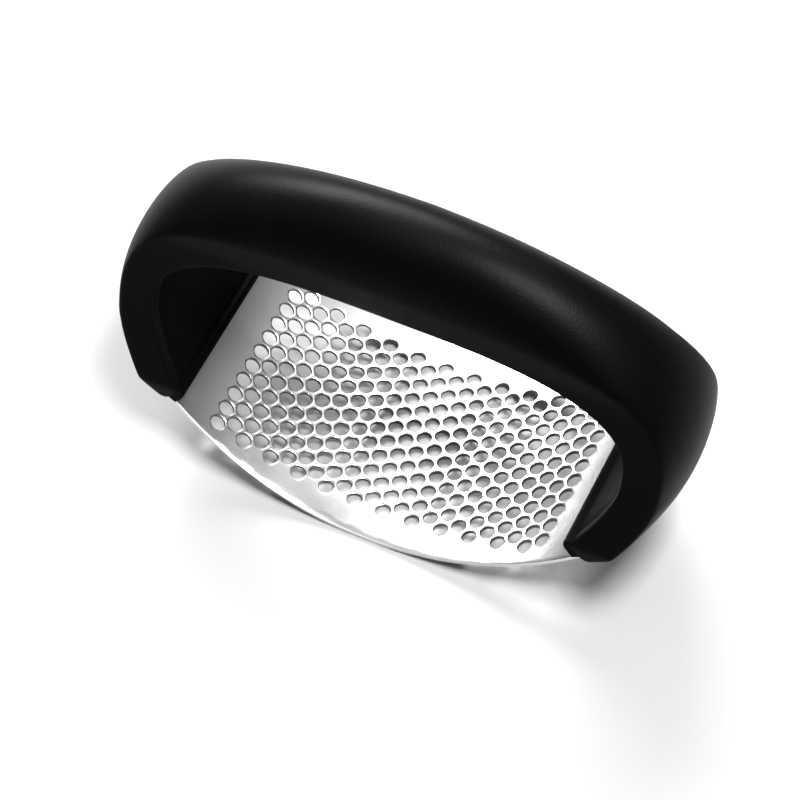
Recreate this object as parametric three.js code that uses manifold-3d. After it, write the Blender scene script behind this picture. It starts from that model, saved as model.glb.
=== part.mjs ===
// Rocking garlic press: a curved, perforated steel plate whose two ends are held in the feet of a
// hollow plastic handle that arches over it.
// Millimetres, +X along the length, +Y across it, +Z up. The origin is the point under the middle
// of the plate where the upright tool touches the worktop.
import * as THREE from "three";
import { mergeVertices } from "three/addons/utils/BufferGeometryUtils.js";
import Module from "manifold-3d";

const wasm = await Module();
wasm.setup();

// ---- Overall sizes ----
const LENGTH = 117; // over the bulging ends of the handle
const HEIGHT = 70.5; // worktop to the top of the arch
const PLATE_WIDTH = 50.2; // across the middle of the plate, the widest place of the tool

// ---- Perforated plate ----
const ROCK_RADIUS = 73.8; // outer face, the one that rocks on the garlic
const SHEET = 0.8; // sheet thickness
const SIDE_CURVE = 5.6; // how far each bowed side draws in between the middle and the handle
const HOLE_DIAMETER = 3.1;
const HOLE_PITCH = 3.8; // along a column, across the tool
const COLUMN_STEP = 3.09; // between columns, along the inner face
const END_MARGIN = 7.6; // plain sheet between the last column and the handle
const EDGE_MARGIN = 1.9; // least sheet between a hole and a bowed side
const STAGGER = HOLE_PITCH / 4; // alternate columns shift this far, one way and the other
const TAB_LENGTH = 7; // plate held inside each foot, past the handle's end face
const TAB_CORNER = 3; // chamfer on the hidden corners of a tab

// ---- Handle ----
const OVERHANG = 13.5; // each end bulges out past its foot by this much
const BULGE_HEIGHT = 33.6; // height of the outermost point of an end
const OUTER_SQUARENESS = 2.1; // superellipse exponent of the outline above the bulge
const INNER_SQUARENESS = 2.88; // the same for the hand opening
const FOOT_FLARE = 7; // degrees between the plate and the underside of a foot where they part
const INNER_TUCK = 1.5; // how the hand opening's outline curls in from its widest place to a foot
const INNER_WIDEST = 33.7; // height where the hand opening is longest
const ARCH_DEPTH = 18.3; // thickness of the arch over the middle
const END_DEPTH = 10.2; // thickness of an end where the hand opening is longest
const FOOT_WIDTH = 41; // across the handle at the feet
const ARCH_WIDTH = 20.6; // across the arch
const SIDE_BOW = 1.26; // 1 would make each side a flat plane that leans in towards the top
const SIDE_FACE_ARCH = 6; // depth of the side face over the middle
const SIDE_FACE_END = 7.7; // and down the ends, where a crease bounds it
const SIDE_FACE_FULL = 0.6; // share of the way to a foot where it reaches its full depth
const SIDE_FACE_GROWTH = 1.5; // exponent of its growth on the way there
const SIDE_FACE_SHARE = 0.9; // it takes at most this share of the handle's depth
const ARCH_ROUNDNESS = 2; // exponent of the back over the arch, where 2 is an ellipse
const END_ROUNDNESS = 1.18; // and down the ends, where 1 would be a flat peak
const CREASE_FULL = 0.75; // share of the way to a foot where the crease is sharpest
const FOOT_TURN = 4; // exponent: only close to a foot do the sections turn to lie along its end face
const FOOT_FLOOR = 1.4; // plastic under the plate at the tip of a foot
const FOOT_RISE = 3.8; // plastic over the plate at a foot's end face
const EDGE_BREAK = 0.9; // softened edge round the hand opening
const WALL = 2.2; // wall of the outer shell
const PANEL = 2; // wall of the inner shell
const LIP = 1.9; // the clamping lip stands this far in front of a foot's end face
const LIP_TOP = 0.8; // and its top this far above the end face
const LIP_BREAK_HEIGHT = 1.6; // sloped front edge of the lip
const LIP_BREAK_LENGTH = 0.63;
const JAW_DEPTH = 4.4; // the jaw behind the lip, over the tab
const RIB = 1.4; // cross ribs inside the outer shell
const RIBS_FROM_SCREW = [-0.13, 0.09, 0.29]; // share of the way to a foot; one more is at the top

// ---- Fixings ----
const POST_DIAMETER = 3; // moulded posts that pass through the tabs
const POST_SPREAD = 20; // between the two posts of a foot
const POST_HEIGHT = 3; // above the foot's floor
const POST_ROOT = 0.47; // and this far down into it
const SCREW_STATION = 0.33; // share of the way from the arch's top to a foot
const SCREW_DIAMETER = 3;
const SCREW_LENGTH = 9;
const SCREW_HEAD = 5.6;
const HEAD_HEIGHT = 1.9;
const HEAD_FLAT = 3.6; // diameter of the flat on top of a head
const HEAD_RIM = 0.85; // height of the rim of a head
const RECESS_ARM = 2.9; // cross recess
const RECESS_SLOT = 0.73;
const HEAD_SUNK = 0.8; // head below the inner shell's face
const BOSS_WALL = 1.7;
const CUP_ROOF = 1.6; // plastic between a head and the boss above it

// ---- Clearances ----
const GAP = 0.3; // between neighbouring pieces
const CUT = 1; // how far a cutting tool runs past what it cuts
const INSIDE_EDGE = 0.2; // edge break inside the shells
const LEAST = 0.05; // least height kept between neighbouring points of a section

// ---- Fineness ----
const WELD = 1e-4; // points closer than this are one
const HOLE_SIDES = 6; // with two corners on the plate's strip edges
const POST_SIDES = 16;
const SCREW_SIDES = 20;
const DRUM_SIDES = 180;
const FIELD_STRIPS = 12; // flat strips under the perforated part of the plate
const STATION_COUNT = 52; // sections along the handle
const OUTLINE_STEPS = 400;
const WIDEST_AT = 0.6; // share of an outline's parameter that runs from the top to its widest point

// ---- Derived places ----
const INNER_RADIUS = ROCK_RADIUS - SHEET;
const FOOT_X = LENGTH / 2 - OVERHANG;
const FOOT_ANGLE = Math.asin(FOOT_X / (ROCK_RADIUS + FOOT_FLOOR));
const LIP_ANGLE = FOOT_ANGLE - LIP / INNER_RADIUS;
const TAB_ANGLE = FOOT_ANGLE + TAB_LENGTH / INNER_RADIUS;
const SHOULDER_ANGLE = FOOT_ANGLE - GAP / INNER_RADIUS;
const POST_ANGLE = (FOOT_ANGLE + TAB_ANGLE) / 2;

// A point at a radius from the plate's centre of curvature and an angle from straight down.
function polar(radius, angle) {
  return new THREE.Vector2(radius * Math.sin(angle), ROCK_RADIUS - radius * Math.cos(angle));
}

const FOOT_TIP = polar(ROCK_RADIUS + FOOT_FLOOR, FOOT_ANGLE);
const FOOT_TOP = polar(INNER_RADIUS - FOOT_RISE, FOOT_ANGLE);

// How the outer outline curls in from the bulge, so that a foot's underside clears the plate.
const FOOT_SLOPE = Math.tan(FOOT_ANGLE - THREE.MathUtils.degToRad(FOOT_FLARE));
const OUTER_TUCK = (BULGE_HEIGHT - FOOT_TIP.y) / (OVERHANG * FOOT_SLOPE);

// ---- Solids ----
function solid(geometry) {
  const bare = new THREE.BufferGeometry();
  bare.setAttribute("position", geometry.getAttribute("position"));
  bare.setIndex(geometry.getIndex());
  const merged = mergeVertices(bare, WELD);
  return new wasm.Manifold(
    new wasm.Mesh({
      numProp: 3,
      vertProperties: merged.getAttribute("position").array,
      triVerts: new Uint32Array(merged.getIndex().array),
    }),
  );
}

function geometryOf(manifold) {
  const mesh = manifold.getMesh();
  const geometry = new THREE.BufferGeometry();
  geometry.setAttribute("position", new THREE.BufferAttribute(mesh.vertProperties, mesh.numProp));
  geometry.setIndex(new THREE.BufferAttribute(mesh.triVerts, 1));
  geometry.computeVertexNormals();
  return geometry;
}

function meshOf(name, geometry, material) {
  const mesh = new THREE.Mesh(geometry, material);
  mesh.name = name;
  return mesh;
}

// A closed skin over a row of convex rings that all have the same number of points.
function loft(rings) {
  const points = rings[0].length;
  const positions = rings.flat(2);
  const faces = [];
  for (let i = 0; i + 1 < rings.length; i++) {
    for (let j = 0; j < points; j++) {
      const a = i * points + j;
      const b = i * points + ((j + 1) % points);
      faces.push(a, b + points, b, a, a + points, b + points);
    }
  }
  const last = (rings.length - 1) * points;
  for (let j = 1; j + 1 < points; j++) {
    faces.push(0, j, j + 1, last, last + j + 1, last + j);
  }
  const geometry = new THREE.BufferGeometry();
  geometry.setAttribute("position", new THREE.Float32BufferAttribute(positions, 3));
  geometry.setIndex(faces);
  return solid(geometry);
}

function union(solids) {
  return solids.reduce((all, one) => all.add(one));
}

// count + 1 evenly spaced values from first to last.
function spread(first, last, count) {
  return Array.from({ length: count + 1 }, (_, i) => first + ((last - first) * i) / count);
}

// ---- Perforated plate ----
function halfWidth(arc) {
  const share = arc / (SHOULDER_ANGLE * INNER_RADIUS);
  return PLATE_WIDTH / 2 - SIDE_CURVE * share * share;
}

// A strip of a cylinder about the plate's centre of curvature, between two radii.
function arcStrip(inner, outer, angles, halfWidthAt) {
  const rings = angles.map((angle) => {
    const low = polar(outer, angle);
    const high = polar(inner, angle);
    const w = halfWidthAt(angle);
    return [
      [low.x, -w, low.y],
      [high.x, -w, high.y],
      [high.x, w, high.y],
      [low.x, w, low.y],
    ];
  });
  return loft(rings);
}

function tabHalfWidth(angle) {
  const wall = sideHalfWidth(polar(ROCK_RADIUS, TAB_ANGLE).y) - WALL - GAP;
  return wall - Math.max(0, TAB_CORNER - (TAB_ANGLE - Math.abs(angle)) * INNER_RADIUS);
}

function columnArcs() {
  const room = LIP_ANGLE * INNER_RADIUS - END_MARGIN - HOLE_DIAMETER / 2;
  const columns = 2 * Math.round(room / COLUMN_STEP);
  return Array.from({ length: columns }, (_, c) => (c - (columns - 1) / 2) * COLUMN_STEP);
}

// Neighbouring columns are half a pitch apart, so the field looks the same turned half round.
function perforations() {
  const arcs = columnArcs();
  const reach = halfWidth(arcs[0]) - EDGE_MARGIN - HOLE_DIAMETER / 2;
  const rows = Math.round((2 * reach) / HOLE_PITCH);
  const punch = new THREE.CylinderGeometry(
    HOLE_DIAMETER / 2, HOLE_DIAMETER / 2, SHEET + 2 * CUT, HOLE_SIDES,
  );
  punch.rotateX(Math.PI / 2);
  const holes = [];
  arcs.forEach((arc, c) => {
    const angle = arc / INNER_RADIUS;
    const centre = polar(ROCK_RADIUS - SHEET / 2, angle);
    const shift = c % 2 ? STAGGER : -STAGGER;
    for (let r = 0; r < rows; r++) {
      const y = (r - (rows - 1) / 2) * HOLE_PITCH + shift;
      const hole = punch.clone().rotateY(-angle).translate(centre.x, y, centre.y);
      holes.push(solid(hole));
    }
  });
  return wasm.Manifold.union(holes);
}

// A round tool set square to the plate on one of its post positions.
function atPosts(radius, from, to) {
  const made = [];
  for (const side of [-1, 1]) {
    for (const across of [-1, 1]) {
      const middle = polar((from + to) / 2, POST_ANGLE * side);
      const post = new THREE.CylinderGeometry(radius, radius, Math.abs(to - from), POST_SIDES);
      post.rotateX(Math.PI / 2);
      post.rotateY(-POST_ANGLE * side);
      post.translate(middle.x, (across * POST_SPREAD) / 2, middle.y);
      made.push(solid(post));
    }
  }
  return wasm.Manifold.union(made);
}

function makePlate() {
  // Facet edges run through column centres, so one flat facet lies under the middle.
  const columns = columnArcs();
  const perStrip = Math.ceil(columns.length / FIELD_STRIPS);
  const facets = columns
    .filter((arc) => Math.round(Math.abs(arc) / COLUMN_STEP - 0.5) % perStrip === 0)
    .map((arc) => arc / INNER_RADIUS);
  const plain = spread(-facets[0], SHOULDER_ANGLE, 3).slice(1);
  const angles = [...plain.map((a) => -a).reverse(), ...facets, ...plain];
  const sheet = arcStrip(INNER_RADIUS, ROCK_RADIUS, angles, (a) => halfWidth(a * INNER_RADIUS));
  const overlap = SHOULDER_ANGLE - CUT / INNER_RADIUS;
  const corner = TAB_ANGLE - TAB_CORNER / INNER_RADIUS;
  const right = [overlap, ...spread(SHOULDER_ANGLE, corner, 2), TAB_ANGLE];
  const left = right.map((a) => -a).reverse();
  const tabs = [left, right].map((ends) => arcStrip(INNER_RADIUS, ROCK_RADIUS, ends, tabHalfWidth));
  return union([sheet, ...tabs])
    .subtract(perforations())
    .subtract(atPosts(POST_DIAMETER / 2 + GAP, INNER_RADIUS - CUT, ROCK_RADIUS + CUT));
}

// ---- Handle outline, seen from the side: from the top of the arch down to a foot ----
class HandleOutline extends THREE.Curve {
  constructor(halfLength, widest, top, squareness, tuck, foot) {
    super();
    Object.assign(this, { halfLength, widest, top, squareness, tuck, foot });
    this.arcLengthDivisions = 600;
  }
  getPoint(t, target = new THREE.Vector2()) {
    if (t < WIDEST_AT) {
      const angle = (Math.PI / 2) * (1 - t / WIDEST_AT);
      const x = this.halfLength * Math.cos(angle) ** (2 / this.squareness);
      const z = (this.top - this.widest) * Math.sin(angle) ** (2 / this.squareness);
      return target.set(t ? x : 0, this.widest + z);
    }
    const down = (t - WIDEST_AT) / (1 - WIDEST_AT);
    const x = this.halfLength - (this.halfLength - this.foot.x) * down ** this.tuck;
    return target.set(x, this.widest - (this.widest - this.foot.y) * down);
  }
}

const OUTLINE = new HandleOutline(
  LENGTH / 2, BULGE_HEIGHT, HEIGHT, OUTER_SQUARENESS, OUTER_TUCK, FOOT_TIP,
);
const OPENING = new HandleOutline(
  LENGTH / 2 - END_DEPTH, INNER_WIDEST, HEIGHT - ARCH_DEPTH, INNER_SQUARENESS, INNER_TUCK, FOOT_TOP,
);

// The two sides of the handle lean in from the feet to the arch, and stand upright above that.
function sideHalfWidth(z) {
  const top = HEIGHT - ARCH_DEPTH;
  const down = THREE.MathUtils.clamp((top - z) / (top - FOOT_TOP.y), 0, 1);
  return ARCH_WIDTH / 2 + ((FOOT_WIDTH - ARCH_WIDTH) / 2) * down ** SIDE_BOW;
}

const OUTLINE_POINTS = OUTLINE.getPoints(OUTLINE_STEPS);
const FOOT_OUT = FOOT_TIP.clone().sub(FOOT_TOP).normalize();

// Distance from a point inside the outline to the outline, along a direction.
function distanceOut(from, direction) {
  const across = (p) => (p.x - from.x) * direction.y - (p.y - from.y) * direction.x;
  for (let i = OUTLINE_POINTS.length - 1; i > 0; i--) {
    const [a, b] = [OUTLINE_POINTS[i - 1], OUTLINE_POINTS[i]];
    const [ca, cb] = [across(a), across(b)];
    if (ca <= 0 && cb > 0) {
      return a.clone().lerp(b, ca / (ca - cb)).sub(from).dot(direction);
    }
  }
  return FOOT_TIP.distanceTo(FOOT_TOP);
}

// One cross-section of the handle: share runs from -1 at the left foot to 1 at the right foot.
// Depth is measured outwards from the hand opening. A section is square to the opening's outline,
// and turns to lie along the end face at a foot.
function station(share) {
  const side = Math.sign(share) || 1;
  const along = Math.abs(share);
  const inner = OPENING.getPointAt(along);
  const tangent = OPENING.getTangentAt(along);
  const square = along ? new THREE.Vector2(-tangent.y, tangent.x) : new THREE.Vector2(0, 1);
  const out = square.lerp(FOOT_OUT, along ** FOOT_TURN).normalize();
  const depth = along < 1 ? distanceOut(inner, out) : FOOT_TIP.distanceTo(FOOT_TOP);
  const grown = Math.min(along / SIDE_FACE_FULL, 1) ** SIDE_FACE_GROWTH;
  const face = SIDE_FACE_ARCH + (SIDE_FACE_END - SIDE_FACE_ARCH) * grown;
  return {
    side, inner, out, depth,
    face: Math.min(face, SIDE_FACE_SHARE * depth),
    end: Math.min(along / CREASE_FULL, 1),
    place: (y, n) => [side * (inner.x + out.x * n), y, inner.y + out.y * n],
    height: (n) => inner.y + out.y * n,
  };
}

// Height of the back over the side face, as a share of the dome, at a share of the half width.
// It is fully rounded over the arch, and meets the side faces at a crease down the ends.
function dome(across, end) {
  return (1 - across ** 2) ** (1 / THREE.MathUtils.lerp(ARCH_ROUNDNESS, END_ROUNDNESS, end));
}

const DOME_SHARES = [0.94, 0.78, 0.55, 0.28]; // points over the back, as shares of its half width

// The ring of a station, shrunk by an inset; its inner side is at depth from.
function ring(share, inset, from, edge) {
  const s = station(share);
  const face = Math.max(s.face - inset / 2, from + edge + 2 * LEAST);
  const crown = Math.max(s.depth - inset, face + LEAST);
  const half = [
    [sideHalfWidth(s.height(from)) - inset - edge, from],
    [sideHalfWidth(s.height(from + edge)) - inset, from + edge],
    [sideHalfWidth(s.height(face)) - inset, face],
  ];
  const shoulder = half[2][0];
  for (const across of DOME_SHARES) {
    half.push([shoulder * across, face + (crown - face) * dome(across, s.end)]);
  }
  const back = half.map(([y, n]) => s.place(-y, n));
  const front = half.map(([y, n]) => s.place(y, n)).reverse();
  return [...back, s.place(0, crown), ...front];
}

// A plain ring between two depths, as wide as the feet.
function slabRing(share, from, to) {
  const { place } = station(share);
  const half = FOOT_WIDTH / 2;
  return [place(-half, from), place(-half, to), place(half, to), place(half, from)];
}

const STATIONS = spread(-1, 1, STATION_COUNT);

function envelope() {
  return loft(STATIONS.map((share) => ring(share, 0, 0, EDGE_BREAK)));
}

// The inside of the outer shell. It is open towards the hand opening and runs past both feet.
function hollow(inset) {
  const rings = STATIONS.map((share) => ring(share, inset, -CUT, INSIDE_EDGE));
  const past = LIP + 2 * CUT;
  const slide = (points, side) => points.map(([x, y, z]) => [
    x - side * past * Math.cos(FOOT_ANGLE), y, z - past * Math.sin(FOOT_ANGLE),
  ]);
  return loft([slide(rings[0], -1), ...rings, slide(rings.at(-1), 1)]);
}

// All that lies within a radius of the plate's centre of curvature, clear of the handle's sides.
function drum(radius) {
  const geometry = new THREE.CylinderGeometry(radius, radius, FOOT_WIDTH * 2, DRUM_SIDES);
  geometry.rotateY(Math.PI / DRUM_SIDES);
  return solid(geometry.translate(0, 0, ROCK_RADIUS));
}

// A round tool square to the hand opening at a screw's station, from one depth to another.
function atScrews(radius, from, to) {
  const made = [-1, 1].map((side) => {
    const s = station(SCREW_STATION * side);
    const [x, , z] = s.place(0, (from + to) / 2);
    const tool = new THREE.CylinderGeometry(radius, radius, to - from, SCREW_SIDES);
    tool.rotateX(Math.PI / 2);
    tool.rotateY(side * Math.atan2(s.out.x, s.out.y));
    return solid(tool.translate(x, 0, z));
  });
  return union(made);
}

const HEAD_SEAT = HEAD_SUNK + HEAD_HEIGHT; // depth of the face that a head bears on
const CUP_DEPTH = HEAD_SEAT + GAP + CUP_ROOF; // top of the cup moulded round a head
const BOSS_START = CUP_DEPTH + GAP;

// A cross rib: a thin slab across the hollow, clear of the inner shell.
function rib(share) {
  const half = RIB / 2 / OPENING.getLength();
  const faces = [share - half, share + half];
  return loft(faces.map((at) => ring(at, WALL / 2, PANEL + GAP, INSIDE_EDGE)));
}

function makeOuterShell() {
  const floorRadius = ROCK_RADIUS + GAP;
  const slot = arcStrip(
    INNER_RADIUS - GAP, floorRadius, spread(LIP_ANGLE, TAB_ANGLE + GAP / INNER_RADIUS, 8),
    () => tabHalfWidth(0) + GAP,
  );
  const trough = envelope().subtract(hollow(WALL).intersect(drum(floorRadius)));
  const beside = RIBS_FROM_SCREW.map((from) => SCREW_STATION + from);
  const ribs = [0, ...beside, ...beside.map((at) => -at)].map(rib);
  const bossEnd = station(SCREW_STATION).depth - WALL / 2;
  const bosses = atScrews(SCREW_DIAMETER / 2 + GAP + BOSS_WALL, BOSS_START, bossEnd);
  const pilots = atScrews(
    SCREW_DIAMETER / 2 + GAP, BOSS_START - CUT, HEAD_SEAT + SCREW_LENGTH + GAP,
  );
  const posts = atPosts(POST_DIAMETER / 2, floorRadius + POST_ROOT, floorRadius - POST_HEIGHT);
  return union([trough, ...ribs, bosses])
    .subtract(union(bothEnds(slot)))
    .subtract(pilots)
    .add(posts);
}

// The lip that bears on the plate in front of a foot, over the handle's full width.
function lip() {
  const base = INNER_RADIUS - GAP;
  const top = INNER_RADIUS - FOOT_RISE - LIP_TOP;
  const rings = [
    [LIP_ANGLE, top + LIP_BREAK_HEIGHT],
    [LIP_ANGLE + LIP_BREAK_LENGTH / INNER_RADIUS, top],
    [FOOT_ANGLE - GAP / INNER_RADIUS, top],
  ].map(([angle, high]) => {
    const a = polar(base, angle);
    const b = polar(high, angle);
    const wa = sideHalfWidth(a.y);
    const wb = sideHalfWidth(b.y);
    return [[a.x, -wa, a.y], [b.x, -wb, b.y], [b.x, wb, b.y], [a.x, wa, a.y]];
  });
  return loft(rings);
}

// The jaw lies over the tab inside the outer shell, and a neck joins it to its lip.
function jaw() {
  const base = INNER_RADIUS - GAP;
  const behind = spread(FOOT_ANGLE, TAB_ANGLE, 6);
  const between = [LIP_ANGLE + GAP / INNER_RADIUS, FOOT_ANGLE + CUT / INNER_RADIUS];
  const block = arcStrip(base - JAW_DEPTH, base, behind, () => FOOT_WIDTH / 2);
  return block.add(arcStrip(base - FOOT_RISE + GAP, base, between, () => FOOT_WIDTH / 2));
}

function bothEnds(right) {
  return [right, right.mirror([1, 0, 0])];
}

function makeInnerShell() {
  const wall = loft(STATIONS.map((share) => slabRing(share, 0, PANEL)));
  const cups = atScrews(SCREW_HEAD / 2 + GAP + BOSS_WALL, PANEL / 2, CUP_DEPTH);
  const inside = union([wall, cups, ...bothEnds(jaw())]).intersect(hollow(WALL + GAP));
  return union([inside, ...bothEnds(lip())])
    .intersect(drum(INNER_RADIUS - GAP))
    .subtract(atScrews(SCREW_HEAD / 2 + GAP, -CUT, HEAD_SEAT))
    .subtract(atScrews(SCREW_DIAMETER / 2 + GAP, 0, CUP_DEPTH + CUT))
    .subtract(atPosts(POST_DIAMETER / 2 + GAP, INNER_RADIUS + CUT, INNER_RADIUS - POST_HEIGHT));
}

// ---- Shell screws: pan head, cross recess, pointed shank along +Z from the underside of the head ----
function makeScrew() {
  const profile = [
    [0, -HEAD_HEIGHT],
    [HEAD_FLAT / 2, -HEAD_HEIGHT],
    [SCREW_HEAD / 2, -HEAD_RIM],
    [SCREW_HEAD / 2, -GAP],
    [SCREW_DIAMETER / 2, -GAP],
    [SCREW_DIAMETER / 2, SCREW_LENGTH - SCREW_DIAMETER],
    [0, SCREW_LENGTH],
  ].map(([r, z]) => new THREE.Vector2(r, z));
  const body = solid(new THREE.LatheGeometry(profile, SCREW_SIDES).rotateX(Math.PI / 2));
  const slot = new THREE.BoxGeometry(RECESS_ARM, RECESS_SLOT, HEAD_HEIGHT);
  slot.translate(0, 0, -HEAD_HEIGHT);
  const cross = solid(slot).add(solid(slot.clone().rotateZ(Math.PI / 2)));
  return body.subtract(cross);
}

// ---- Assembly ----
const steel = new THREE.MeshStandardMaterial({ color: 0xc9cbcc, roughness: 0.3, metalness: 1 });
const plastic = new THREE.MeshStandardMaterial({ color: 0x0d0d0e, roughness: 0.55, metalness: 0 });
const zinc = new THREE.MeshStandardMaterial({ color: 0x9a9c9e, roughness: 0.4, metalness: 1 });

const press = new THREE.Group();
press.add(meshOf("perforated_plate", geometryOf(makePlate()), steel));

const handle = new THREE.Group();
handle.add(meshOf("handle_outer_shell", geometryOf(makeOuterShell()), plastic));
handle.add(meshOf("handle_inner_shell", geometryOf(makeInnerShell()), plastic.clone()));

for (const [name, side] of [["shell_screw_left", -1], ["shell_screw_right", 1]]) {
  const s = station(SCREW_STATION * side);
  const screw = meshOf(name, geometryOf(makeScrew()), zinc.clone());
  screw.position.set(...s.place(0, HEAD_SEAT));
  screw.rotation.y = side * Math.atan2(s.out.x, s.out.y);
  handle.add(screw);
}
press.add(handle);

export default press;
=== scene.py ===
import math
import bmesh
import bpy
import numpy as np
from mathutils import Matrix, Vector


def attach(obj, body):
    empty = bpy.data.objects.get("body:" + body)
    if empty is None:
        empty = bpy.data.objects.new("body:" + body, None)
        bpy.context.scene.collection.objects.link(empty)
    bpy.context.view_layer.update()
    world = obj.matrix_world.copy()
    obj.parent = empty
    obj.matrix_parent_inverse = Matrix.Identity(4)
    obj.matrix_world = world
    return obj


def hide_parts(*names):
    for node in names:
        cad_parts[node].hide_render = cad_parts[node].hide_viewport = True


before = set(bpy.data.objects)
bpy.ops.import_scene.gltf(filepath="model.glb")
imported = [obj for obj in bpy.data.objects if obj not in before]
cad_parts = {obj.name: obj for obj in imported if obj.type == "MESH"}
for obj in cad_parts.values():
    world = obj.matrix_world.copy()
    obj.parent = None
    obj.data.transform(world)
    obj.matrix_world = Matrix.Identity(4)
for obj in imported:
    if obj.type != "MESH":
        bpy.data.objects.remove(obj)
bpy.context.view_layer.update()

# ---- Perforated plate ----
# One strip of 0.8 mm stainless steel with a satin polish. The blank is cut with bowed sides and two
# narrower tabs, punched with round holes in staggered columns, and then rolled to a curve.
# The tabs go into the feet of the handle.
MM = 0.001  # sizes are in millimetres, and become metres when a mesh is made
GAP = 0.3  # left open where one piece stands next to another
ROCK_RADIUS = 73.8  # of the outside of the plate
SHEET = 0.8
INNER_RADIUS = ROCK_RADIUS - SHEET
PLATE_WIDTH = 50.19  # a hair under the 50.2 of the solid
SIDE_CURVE = 5.6  # how far each bowed side comes in from the middle to the shoulder
FOOT_FLOOR = 1.4  # plastic under the plate, at the tip of a foot
FOOT_X = 45.0  # from the middle of the tool to the tip of a foot
FOOT_ANGLE = math.asin(FOOT_X / (ROCK_RADIUS + FOOT_FLOOR))
SHOULDER = INNER_RADIUS * FOOT_ANGLE - GAP  # where the tab begins, along the flat blank
TAB_LENGTH = 7.0
TAB_CORNER = 3.0
TAB_HALF_WIDTH = 17.7
HOLE_DIAMETER = 3.1
HOLE_PITCH = 3.8
COLUMN_STEP = 3.09
COLUMNS = 24
ROWS = 10
STAGGER = HOLE_PITCH / 4
ROLL_OVER = 0.1  # width of the soft rim that the punch leaves, and its depth
ROLL_DEPTH = 0.045
EDGE_SOFT = 0.16  # width of the same along the plate's outline
SIDE_STEPS = 5  # points along each side of a hole's six-sided cell
MARGIN_STEPS, END_STEPS, TAB_STEPS = 4, 14, 10

# Corners of the six-sided cell round a hole: neighbouring cells share their sides.
CELL_POINT = COLUMN_STEP / 2 + HOLE_PITCH**2 / (8 * COLUMN_STEP)
CELL_FLAT = COLUMN_STEP - CELL_POINT
CELL_HALF = HOLE_PITCH / 2
FIELD_END = (COLUMNS - 1) / 2 * COLUMN_STEP  # middle of the last column of holes
FIELD_TOP = (ROWS - 1) / 2 * HOLE_PITCH + CELL_HALF  # outer side of the last row, before the stagger


def steps(start, end, count):
    """Evenly spaced values from start, without the end."""
    return [start + (end - start) * i / count for i in range(count)]


def mesh_object(name, points, faces):
    """A new object from points in millimetres."""
    mesh = bpy.data.meshes.new(name)
    mesh.from_pydata([tuple(float(c) * MM for c in p) for p in points], [], faces)
    made = bpy.data.objects.new(name, mesh)
    bpy.context.scene.collection.objects.link(made)
    return made


def joined(rings, count):
    """The faces between neighbouring rings of points, each ring closed on itself."""
    faces = []
    for r in range(rings - 1):
        a, b = r * count, (r + 1) * count
        for i in range(count):
            j = (i + 1) % count
            faces.append((a + i, a + j, b + j, b + i))
    return faces


def punched_cell():
    """The sheet round one hole: from the cell's sides to the rim, and down over the rim's soft edge."""
    corners = [
        (CELL_POINT, 0), (CELL_FLAT, CELL_HALF), (-CELL_FLAT, CELL_HALF),
        (-CELL_POINT, 0), (-CELL_FLAT, -CELL_HALF), (CELL_FLAT, -CELL_HALF),
    ]
    lean = math.atan2(CELL_HALF, CELL_FLAT)
    turns = [0, lean, math.pi - lean, math.pi, math.pi + lean, 2 * math.pi - lean, 2 * math.pi]
    outer, angles = [], []
    for i, (x, y) in enumerate(corners):
        x2, y2 = corners[(i + 1) % 6]
        outer += [(px, py, 0) for px, py in zip(steps(x, x2, SIDE_STEPS), steps(y, y2, SIDE_STEPS))]
        angles += steps(turns[i], turns[i + 1], SIDE_STEPS)
    hole = HOLE_DIAMETER / 2
    rim = [((hole + ROLL_OVER) * math.cos(a), (hole + ROLL_OVER) * math.sin(a), 0) for a in angles]
    edge = [(hole * math.cos(a), hole * math.sin(a), -ROLL_DEPTH) for a in angles]
    count = len(angles)
    made = mesh_object("cell", outer + rim + edge, joined(3, count))
    # The cut attribute marks the hole walls. The steel material makes them rougher and paints them dark as
    # shade.
    cut = made.data.attributes.new("cut", "FLOAT", "POINT")
    cut.data.foreach_set("value", [0.0] * (2 * count) + [1.0] * count)
    return made


def blank_half_width(s):
    return PLATE_WIDTH / 2 - SIDE_CURVE * (s / SHOULDER) ** 2


def over_margin(s, low):
    """Points across the margin, from the field of holes to the outline, where the sheet's edge turns down."""
    high = blank_half_width(s)
    soft = high - EDGE_SOFT
    return [(s, y, 0) for y in steps(low, soft, MARGIN_STEPS)] + [(s, soft, 0), (s, high, -ROLL_DEPTH)]


def top_margin():
    """The margin beside the field. Its inner border follows the cells of the last row."""
    border = []
    for c in range(COLUMNS):
        centre = (c - (COLUMNS - 1) / 2) * COLUMN_STEP
        y, next_y = FIELD_TOP - STAGGER, FIELD_TOP + STAGGER
        if c % 2:
            y, next_y = next_y, y
        border += [(s, y) for s in steps(centre - CELL_FLAT, centre + CELL_FLAT, SIDE_STEPS)]
        if c + 1 < COLUMNS:
            slant = steps(centre + CELL_FLAT, centre + COLUMN_STEP - CELL_FLAT, SIDE_STEPS)
            border += zip(slant, steps(y, next_y, SIDE_STEPS))
    border.append((FIELD_END + CELL_FLAT, FIELD_TOP + STAGGER))
    return [over_margin(s, y) for s, y in border]


def end_border():
    """Points down the last column's cells, with the two margins beside them."""
    near, far = FIELD_END + CELL_FLAT, FIELD_END + CELL_POINT
    border = [(s, -y, z) for s, y, z in reversed(over_margin(near, FIELD_TOP - STAGGER))]
    border.pop()  # the first cell starts at the same point
    for r in range(ROWS):
        y = (r - (ROWS - 1) / 2) * HOLE_PITCH + STAGGER
        for s, s2, low in ((near, far, y - CELL_HALF), (far, near, y)):
            side = zip(steps(s, s2, SIDE_STEPS), steps(low, low + CELL_HALF, SIDE_STEPS))
            border += [(at, v, 0) for at, v in side]
    return border + over_margin(near, FIELD_TOP + STAGGER)


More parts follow.
